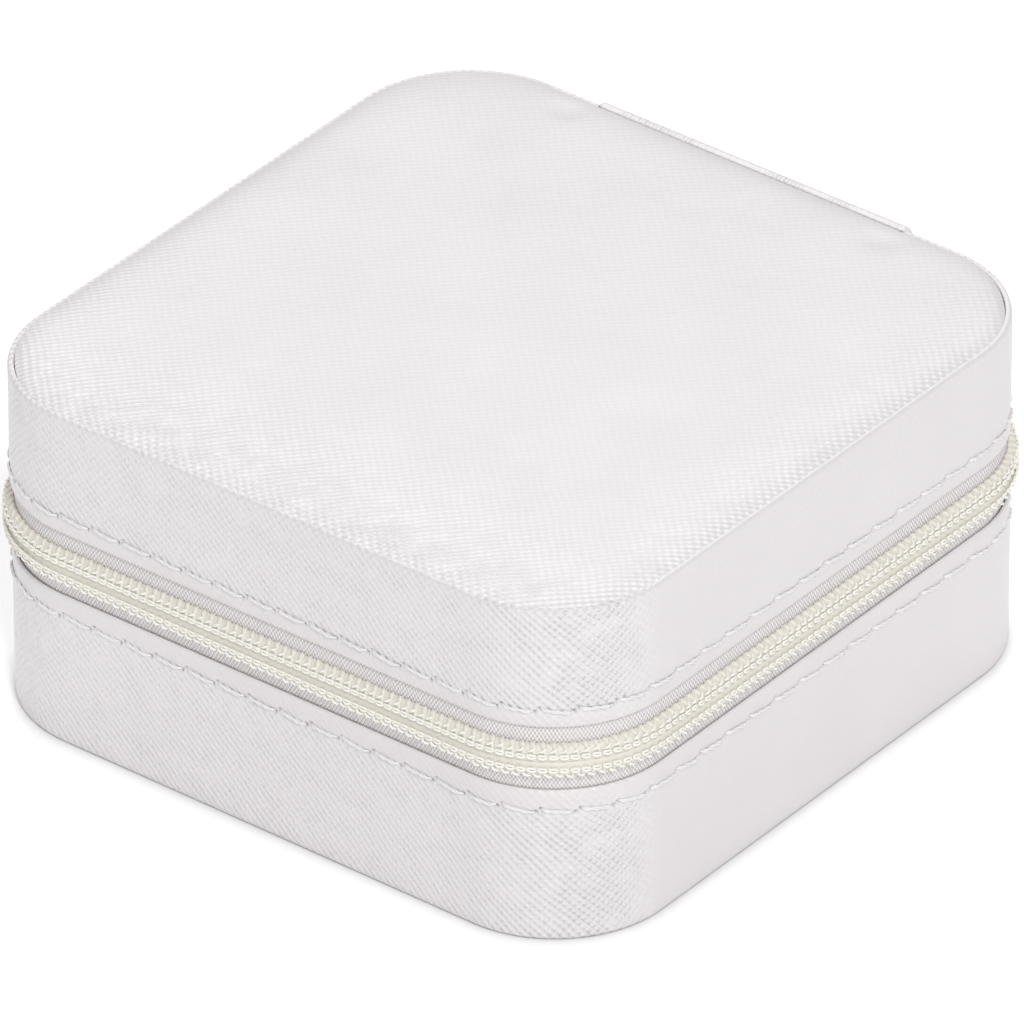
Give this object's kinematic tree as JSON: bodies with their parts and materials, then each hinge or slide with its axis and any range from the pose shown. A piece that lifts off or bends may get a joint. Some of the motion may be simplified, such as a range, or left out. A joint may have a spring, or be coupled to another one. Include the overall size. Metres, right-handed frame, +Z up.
{
  "type": "jewelry box",
  "caption": "Square zip-around travel jewelry box with a padded hinged lid, ring rolls, loose dividers, necklace hooks and a lid pocket.",
  "frame": {"origin": "middle of the underside, where the box stands", "axes": "+Z up, -Y to the front, +Y to the cloth hinge, +X to the right"},
  "size_m": [0.1064, 0.1023, 0.05],
  "materials": {
    "leather_white": "white artificial leather with a fine crossed grain",
    "greyboard": "pressed paper board",
    "velvet": "short pile, pale warm grey",
    "foam": "soft open foam",
    "zip_tape": "plain woven tape",
    "zip_coil": "moulded ivory coil",
    "metal": "pale gold plate, satin",
    "elastic": "ribbed elastic",
    "thread": "bonded thread"
  },
  "bodies": {
    "base": {"base_cover": "leather_white", "bottom_cover": "leather_white", "base_board": "greyboard", "floor_board": "greyboard", "base_liner": "velvet", "floor_liner": "velvet", "partition": "velvet", "ring_roll_bed": "foam", "ring_rolls": "velvet", "base_tape": "zip_tape", "base_coil": "zip_coil", "base_zip_stops": "metal", "base_stitches": "thread", "patch_stitches_base": "thread", "hinge_patch": "leather_white", "hinge_gusset": "velvet"},
    "lid": {"lid_cover": "leather_white", "top_cover": "leather_white", "top_foam": "foam", "top_board": "greyboard", "lid_board": "greyboard", "lid_liner": "velvet", "ceiling_liner": "velvet", "hook_strap": "leather_white", "hook_stems": "metal", "hook_lips": "metal", "pocket_panel": "velvet", "pocket_binding": "leather_white", "pocket_elastic": "elastic", "lid_tape": "zip_tape", "lid_coil": "zip_coil", "lid_zip_stops": "metal", "lid_stitches": "thread", "patch_stitches_lid": "thread"},
    "slider": {"slider_body": "metal"},
    "link": {"pull_link": "metal"},
    "tab": {"pull_tab": "leather_white"},
    "divider_a": {"divider_front": "velvet"},
    "divider_b": {"divider_rear": "velvet"}
  },
  "joints": [
    {"name": "lid_hinge", "type": "hinge", "parent": "base", "child": "lid", "pos_m": [0, 0.0512, 0.0269], "axis": [-1, 0, 0], "range_deg": [0, 105], "deforming": ["hinge_patch", "hinge_gusset"]},
    {"name": "slider_slide", "type": "slide", "parent": "base", "child": "slider", "axis": [0, -1, 0], "range_m": [0, 0.05]},
    {"name": "pull_link_swing", "type": "hinge", "parent": "slider", "child": "link", "pos_m": [-0.0553, 0.0306, 0.0269], "axis": [1, 0, 0], "range_deg": [-40, 90]},
    {"name": "pull_tab_lift", "type": "hinge", "parent": "link", "child": "tab", "pos_m": [-0.0531, 0.0306, 0.0185], "axis": [0, 1, 0], "range_deg": [0, 120]},
    {"name": "divider_front_lift", "type": "slide", "parent": "base", "child": "divider_a", "axis": [0, 0, 1], "range_m": [0, 0.018]},
    {"name": "divider_rear_lift", "type": "slide", "parent": "base", "child": "divider_b", "axis": [0, 0, 1], "range_m": [0, 0.018]}
  ]
}
